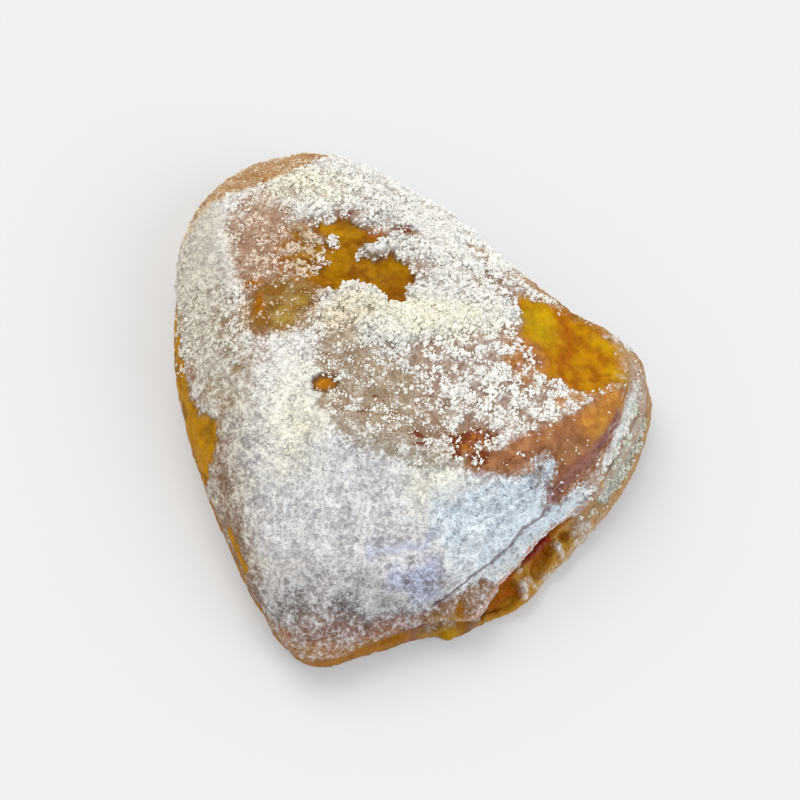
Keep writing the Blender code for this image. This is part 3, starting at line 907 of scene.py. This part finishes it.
class Finish:
    """A material while it is being built."""

    def __init__(self, name):
        self.material = bpy.data.materials.new(name)
        self.material.use_nodes = True
        self.tree = self.material.node_tree
        self.shader = self.tree.nodes["Principled BSDF"]

    def add(self, kind, settings=None, sockets=None, output=0):
        node = self.tree.nodes.new(kind)
        for name, value in (settings or {}).items():
            setattr(node, name, value)
        for key, value in (sockets or {}).items():
            self.feed(node.inputs[key], value)
        return Wire(self, node.outputs[output])

    def feed(self, socket, value):
        if isinstance(value, Wire):
            self.tree.links.new(value.socket, socket)
        else:
            socket.default_value = value

    def number(self, value):
        return self.add("ShaderNodeMath", {"operation": "ADD"}, {0: value, 1: 0.0})

    def attribute(self, name, output="Fac"):
        return self.add("ShaderNodeAttribute", {"attribute_name": name}, output=output)

    def place(self):
        return self.add("ShaderNodeTexCoord", output="Object")

    def noise(self, place, size, detail=2.0, roughness=0.5, output=0):
        """Noise with lumps about this many millimetres across."""
        sockets = {"Vector": place, "Scale": 1 / (size * MM), "Detail": detail, "Roughness": roughness}
        return self.add("ShaderNodeTexNoise", {}, sockets, output)

    def stretched(self, place, factors):
        """Places with each axis multiplied, which draws noise out along an axis with a small factor."""
        return self.add("ShaderNodeVectorMath", {"operation": "MULTIPLY"}, {0: place, 1: factors})

    def shaken(self, place, size, reach):
        """Places pushed about by noise, by up to this many millimetres, which makes round cells ragged."""
        push = self.noise(place, size, 1, output=1)
        sockets = {0: push, 1: (reach * MM,) * 3, 2: place}
        return self.add("ShaderNodeVectorMath", {"operation": "MULTIPLY_ADD"}, sockets)

    def cells(self, place, size):
        """How far each point is from the middle of its cell, as a share of this size in millimetres."""
        sockets = {"Vector": place, "Scale": 1 / (size * MM)}
        return self.add("ShaderNodeTexVoronoi", {"feature": "F1"}, sockets)

    def luck(self, cells):
        """A random number for each cell, the same all over the cell."""
        return self.add("ShaderNodeSeparateColor", {}, {0: cells.other("Color")})

    def larger(self, one, other):
        return one.maths("MAXIMUM", other)

    def between(self, low, high, share):
        """One number turning into another as share goes from 0 to 1."""
        return low + (high - low) * share

    def blend(self, low, high, share):
        """One colour turning into another as share goes from 0 to 1."""
        settings = {"data_type": "RGBA", "clamp_factor": True}
        return self.add("ShaderNodeMix", settings, {0: share, 6: low, 7: high}, output=2)

    def tint(self, colour, tint):
        """A colour multiplied by another, as a thin stain does."""
        settings = {"data_type": "RGBA", "blend_type": "MULTIPLY"}
        return self.add("ShaderNodeMix", settings, {0: 1.0, 6: colour, 7: (*tint, 1)}, output=2)

    def bump(self, height, depth, normal=None):
        sockets = {"Height": height, "Strength": 1.0, "Distance": depth * MM}
        if normal:
            sockets["Normal"] = normal
        return self.add("ShaderNodeBump", {}, sockets)

    def dress(self, **sockets):
        for name, value in sockets.items():
            self.feed(self.shader.inputs[name.replace("_", " ").title()], value)


# %% [markdown]
# ## The crust under the powder
#
# Every part of the crust's finish reads the same few noises, from about four millimetres wide
# down to half a millimetre, so that stains, film and powder agree with each other. The bare
# dough has lighter and darker stains. The dull film has dark specks, where its sugar melted.
# Thin flakes have burnt.

# %% Patterns and bare dough
GRAIN, CRUMB = 0.52, 0.95
CHAR = srgb(112, 52, 22)
Patterns = namedtuple("Patterns", "blotch mottle wool fine streak grains crumbs")


def patterns_of(f):
    place = f.place()
    shaken = f.shaken(place, 0.6, 0.45)
    sideways = f.stretched(place, (0.16, 0.16, 1.0))
    return Patterns(
        blotch=f.noise(place, 4.5, 2), mottle=f.noise(place, 1.6, 3, 0.6), wool=f.noise(place, 1.0, 2, 0.6),
        fine=f.noise(place, 0.55, 1.5, 0.6), streak=f.noise(sideways, 0.8, 2, 0.6),
        grains=f.cells(shaken, GRAIN), crumbs=f.cells(shaken, CRUMB),
    )


def bare_dough(f, p, cover):
    dough = f.attribute("dough", "Color")
    stain = (p.mottle * 0.6 + p.blotch * 0.25 + p.fine * 0.15).step(0.36, 0.60)
    colour = f.blend(f.tint(dough, (0.80, 0.76, 0.74)), f.tint(dough, (1.06, 1.06, 1.05)), stain)
    specks = (0.44 - p.fine).step(0, 0.08) * cover.step(0.02, 0.08) * 0.7
    colour = f.blend(colour, f.tint(colour, (0.66, 0.58, 0.50)), specks)
    charred = (f.attribute("char") + (p.mottle - 0.5) * 2.2 + (p.fine - 0.5) * 1.2).step(0.62, 0.80)
    return f.blend(colour, (*CHAR, 1), charred)


# %% [markdown]
# ## The powder
#
# Powder isn't a flat white coat. Where it fell fine it lies in soft tufts, so noises of several
# sizes are added up, and the cover decides how much of the sum shows. Where it fell coarse,
# Voronoi cells stand for its grains and clots. Every cell has a random number, and its grain is
# there where the cover is above that number, so 60% cover means 60% of the grains. Where they
# crowd, each fills more of its cell. One kind of powder is described by three things: how much
# it hides, how light it is, and how high it stands in the bump. How light it is varies at random,
# and is darker in the valleys between tufts and towards the edges of grains and clots, which is
# painted shade.

# %% Powder
GRAIN_REACH, CRUMB_REACH = 0.58, 0.54
CROWDING = 0.35
Powder = namedtuple("Powder", "share tone height")


def soft_powder(p, here, cover, layered):
    tufts = (0.5 - p.crumbs) * 0.30 + (0.5 - p.grains) * 0.15 + (p.fine - 0.5) * 0.7 + (p.wool - 0.5) * 0.9
    contrast = cover.step(0.0, 0.3) * (1.4 - 0.4 * cover.step(0.7, 1.0)) * (1 - 0.85 * layered)
    share = (here + tufts * contrast).step(0.10, 0.95)
    # Darker where the tufts are low, painted shade in their valleys, and lighter or darker at random.
    tone = (tufts + (p.mottle - 0.5) * 0.9 + (p.blotch - 0.5) * 0.9).step(-0.45, 0.30)
    return Powder(share, tone, tufts * (0.3 + 0.7 * share))


def grainy_powder(f, p, here, cover):
    reach = GRAIN_REACH + here.step(0.6, 1.0) * CROWDING
    dome = (reach - p.grains).step(0, 0.5)
    there = (here - f.luck(p.grains)).step(0, 0.15) * (reach - p.grains).step(0, 0.15)
    bright = (p.mottle * 0.6 + p.blotch * 0.4).step(0.40, 0.56)
    share = there * (0.5 + 0.5 * cover.step(0.1, 0.5))
    # Each grain is lighter in its middle and darker at its edge, painted shade of its round form; the
    # bright patches vary at random.
    return Powder(share, dome * 0.4 + bright * 0.6 + 0.15, dome * there * 0.25)


def clotted_powder(f, p, here, coarse):
    reach = CRUMB_REACH + here.step(0.6, 1.0) * CROWDING
    dome = (reach - p.crumbs).step(0, 0.5)
    there = (here * coarse - f.luck(p.crumbs)).step(0, 0.08) * (reach - p.crumbs).step(0, 0.12)
    # Each clot is lighter in its middle and darker at its edge: painted shade of its round form.
    return Powder(there, dome * 0.5 + 0.55, dome * there)


# %% [markdown]
# ## The whole crust
#
# The cover is only sure where it is nearly nothing or nearly full. In between, noise decides,
# which gives the powder its clouds. On the steep side that noise is drawn out along the
# dough's layers. From below the colour is dough, film, powder and clots. The film and the low
# parts of the powder take a darker copy of the sugar colour, which is the film's own dull grey
# and painted shade in the valleys. Then come three thin lines: the crease, darkened as painted
# shade, the seam along the wall, and the lip's pale rim, a painted highlight along its thin edge.

# %% Crust finish
# Darker copies of the sugar colour: the film's own dull grey, and painted shade in the powder's valleys and
# at the edges of grains and clots.
SOFT_SHADE, SHADE = (0.55, 0.54, 0.57), (0.74, 0.72, 0.70)
# The crease's painted shade, the seam's brown, and the painted highlight on the lip's rim.
CREASE_SHADE, SEAM_BROWN, RIM_HIGHLIGHT = srgb(124, 100, 108), srgb(150, 112, 92), srgb(192, 150, 128)


def thin_lines(f, colour):
    crease = (0.24 - f.attribute("crease").maths("ABSOLUTE")).step(0.0, 0.16)
    seam = (0.50 - f.attribute("seam")).step(0.0, 0.3)
    # Painted shade along the crease.
    colour = f.blend(colour, (*CREASE_SHADE, 1), crease * 0.75)
    colour = f.blend(colour, (*SEAM_BROWN, 1), seam * 0.75)
    # A painted highlight along the lip's thin rim.
    return f.blend(colour, (*RIM_HIGHLIGHT, 1), f.attribute("rim").step(0.3, 0.75) * 0.9)


def crust_finish():
    f = Finish("crust_with_sugar")
    p = patterns_of(f)
    cover, coarse, layered = f.attribute("cover"), f.attribute("coarse"), f.attribute("layered")
    # The sugar colour carries painted light and shade from its washes.
    sugar = f.attribute("sugar", "Color")

    clouds = (p.mottle - 0.5) + (p.blotch - 0.5) * 0.7
    clouds = clouds + ((p.streak - 0.5) * 2.6 - clouds) * layered
    here = cover + clouds * (cover * (1 - cover) * 4)
    film = (here + (p.fine - 0.5) * 0.4).step(0.0, 0.9) * 0.85
    rough = coarse.step(0.3, 0.6) * (1 - 0.6 * here.step(0.75, 1.0))
    soft, grainy = soft_powder(p, here, cover, layered), grainy_powder(f, p, here, cover)
    clots = clotted_powder(f, p, here, coarse)
    powder = f.between(soft.share, grainy.share, rough)

    # A darker copy of the sugar colour: the film's own dull grey, and painted shade in the powder's valleys
    # and at the edges of grains and clots.
    shade = f.blend(f.tint(sugar, SOFT_SHADE), f.tint(sugar, SHADE), rough)
    colour = f.blend(bare_dough(f, p, cover), shade, film)
    colour = f.blend(colour, f.blend(shade, sugar, f.between(soft.tone, grainy.tone, rough)), powder)
    colour = f.blend(colour, f.blend(shade, sugar, clots.tone), clots.share)

    swells = f.bump((p.mottle + p.blotch * 0.8) * (0.25 + 0.75 * cover), 1.7)
    height = f.between(soft.height, f.larger(grainy.height, clots.height) * 0.8, rough) + p.fine * 0.15
    roughness = 0.45 + 0.45 * f.larger(powder, clots.share)
    f.dress(base_color=thin_lines(f, colour), roughness=roughness, normal=f.bump(height, 0.32, swells))
    f.shader.inputs["Specular IOR Level"].default_value = 0.05
    return f.material


skin.data.materials.clear()
skin.data.materials.append(crust_finish())
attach(skin, "root")
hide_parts("pastry")

# %% [markdown]
# ## The table's finish
#
# A pale matte surface, with nothing on it that would take the eye. It glows a little, as a
# photographer's light table does, which keeps the pastry's shadow faint.

# %% Table finish
TABLE_TONE, TABLE_ROUGHNESS, TABLE_GLOW = 0.52, 0.9, 0.228


def table_finish():
    f = Finish("pale_table")
    f.dress(base_color=(TABLE_TONE, TABLE_TONE, TABLE_TONE, 1), roughness=TABLE_ROUGHNESS)
    f.dress(emission_color=(1, 1, 1, 1), emission_strength=TABLE_GLOW)
    return f.material


add_table(table_finish())

# %% [markdown]
# ## Crumbs of sugar
#
# Icing sugar clots in the sieve, so real clots of half a millimetre lie on the powder and throw
# their own small shadows. A bump can't do that at this size, and a particle system would draw
# instances that an export loses, so each crumb is copied into one mesh per kind. A crumb is an
# icosphere with its points knocked about, which has twenty faces, and a finer grain is a cube.

# %% Crumb shapes
rng = np.random.default_rng(20)


def knocked_shapes(count, knock, create, **size):
    """A few shapes with their points knocked about, as points, and the faces that they share."""
    shapes, faces = [], None
    for _ in range(count):
        bm = bmesh.new()
        create(bm, **size)
        points = np.array([v.co for v in bm.verts])
        faces = np.array([[v.index for v in f.verts] for f in bm.faces])
        bm.free()
        shapes.append(points * (1 + knock * rng.uniform(-1, 1, (len(points), 1))))
    return np.array(shapes), faces


def random_turns(count):
    """Evenly spread random rotations, as matrices."""
    q = rng.normal(size=(count, 4))
    w, x, y, z = (q / np.linalg.norm(q, axis=1)[:, None]).T
    rows = (
        (1 - 2 * (y * y + z * z), 2 * (x * y - z * w), 2 * (x * z + y * w)),
        (2 * (x * y + z * w), 1 - 2 * (x * x + z * z), 2 * (y * z - x * w)),
        (2 * (x * z - y * w), 2 * (y * z + x * w), 1 - 2 * (x * x + y * y)),
    )
    return np.moveaxis(np.array(rows), 2, 0)


def strew(name, shapes, faces, spots, ups, radii, colours, material):
    """One mesh of all the crumbs of a kind, each with a random shape and turn."""
    count, size = len(spots), shapes.shape[1]
    picked = shapes[rng.integers(len(shapes), size=count)]
    picked = picked * rng.uniform(0.55, 1.45, (count, 1, 3))
    turned = np.einsum("nij,nkj->nki", random_turns(count), picked)
    points = turned * radii[:, None, None] + (spots + ups * (radii * 0.35)[:, None])[:, None, :]
    links = faces[None] + (np.arange(count) * size)[:, None, None]
    mesh = bpy.data.meshes.new(name)
    mesh.from_pydata((points.reshape(-1, 3) * MM).tolist(), [], links.reshape(-1, faces.shape[1]).tolist())
    mesh.materials.append(material)
    crumbs = bpy.data.objects.new(name, mesh)
    bpy.context.scene.collection.objects.link(crumbs)
    set_attribute(crumbs, "sugar", np.repeat(colours, size, axis=0))
    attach(crumbs, "root")
    print(name, "has", count, "crumbs and", len(mesh.polygons), "faces")
    return crumbs


# %% [markdown]
# ## Where the crumbs fall
#
# A crumb is more likely where the cover is coarse, and crumbs stick together, so the chance is
# also multiplied by noise a few crumbs wide. Where the powder is nearly closed, most crumbs have
# sunk into it. Few lie on the bare and filmy places, and none on the crease.

# %% Crumb finish and places
def sugar_finish():
    f = Finish("sugar_crumbs")
    # Each crumb shows the sugar colour where it lies, painted light and shade included.
    f.dress(base_color=f.attribute("sugar", "Color"), roughness=0.8)
    f.shader.inputs["Specular IOR Level"].default_value = 0.2
    return f.material


def pick(chance, count):
    chance = np.maximum(chance, 0)
    return rng.choice(len(chance), size=count, replace=False, p=chance / chance.sum())


def crumb_places(chosen, spread):
    """Places just beside the chosen points of the skin, and which way is up there."""
    ups = normals[chosen]
    slide = rng.normal(size=(len(chosen), 3)) * spread
    slide -= ups * np.einsum("ij,ij->i", slide, ups)[:, None]
    return places[chosen] + slide, ups


# %% Chances and sizes
gathered = smooth_step((lumps(places, 2.4, seed=71, octaves=3) + 0.24) / 0.5) * (0.12 + clots)
crumb = knocked_shapes(12, 0.40, bmesh.ops.create_icosphere, subdivisions=1, radius=1)
grain = knocked_shapes(12, 0.25, bmesh.ops.create_cube, size=1.3)
on_top = smooth_step((normals[:, 2] - 0.1) / 0.3)
SPRINKLED = (
    lay(0.12, 4, ROSY_SLOPE),
    lay(0.4, 3, BACK_DRIFT),
    lay(0.06, 3, TAN_BACK),
    lay(0.1, 4, Spot(-35, 6, 6, 7)),
    lay(0.03, 3, PALE_CORNER, RIGHT_RIM),
    lay(0.1, 4, *THIN_FRONT),
    lay(0.2, 4, *THIN_BACK, Spot(-25, 30.5, 2.5, 1.6, 20)),
    lay(0.05, 5, DULL_FILM),
    lay(0.01, 4, FILM_EDGE),
    lay(0.02, 3, OLIVE_FILM),
    lay(0.5, 2, *BROWN_RIM),
    lay(0.16, 2, Spot(23.5, -5, 3.5, 4.5)),
    lay(0.08, 3, Band(((30, -12), (34, -10.5), (38, -8)), 2)),
    lay(0, 0.8, HOLLOW, *BAKED_SPOTS),
    lay(0, 2.4, RIGHT_BARE),
    lay(0.08, 2, HOLLOW_LEFT),
    lay(0.6, 1, CRUMB_BRIDGE),
    lay(0.001, 1.6, BROWN_FIELD),
    lay(0.02, 1.2, *CHARRED),
    lay(0.02, 2, Spot(12.4, -21.5, 4, 3, 60)),
)
SIZES = (lay(0.6, 3, TAN_BACK, RIGHT_RIM, PALE_CORNER), lay(0.8, 4, ROSY_SLOPE, DULL_FILM, OLIVE_FILM))
crumb_size = laid(places, 1.0, SIZES)
away_from_crease = smooth_step((line_distance(places, CREASE) - 0.4) / 0.5)
sunk = 0.85 * smooth_step((cover - 0.6) / 0.3)
coarse_chance = laid(crumbly, (0.10 + cover) * coarse, SPRINKLED) * on_top * gathered**2
coarse_chance *= 1 - sunk
coarse_chance *= 1 - layered
fine_chance = np.maximum(cover - 0.45, 0) * on_top * (1 - coarse) * gathered * (1 - layered)
fine_chance *= away_from_crease

# %% Crumbs
sugar = sugar_finish()
DULLEST = 0.77
Kind = namedtuple("Kind", "name shape count smallest largest chance")
KINDS = (
    Kind("crumbs_large", crumb, 4600, 0.26, 0.48, coarse_chance),
    Kind("crumbs_medium", crumb, 9600, 0.17, 0.28, coarse_chance),
    Kind("crumbs_small", crumb, 9000, 0.12, 0.20, coarse_chance),
    Kind("grains", grain, 6000, 0.08, 0.15, fine_chance),
)
for kind in KINDS:
    chosen = pick(kind.chance, kind.count)
    spots, ups = crumb_places(chosen, 0.2)
    radii = rng.uniform(kind.smallest, kind.largest, kind.count) * crumb_size[chosen]
    # The sugar colour where each crumb lies, with its painted light and shade, dulled at random.
    colours = sugar_and_light_colour[chosen] * rng.uniform(DULLEST, 1, (kind.count, 1))
    strew(kind.name, *kind.shape, spots, ups, radii, colours, sugar)
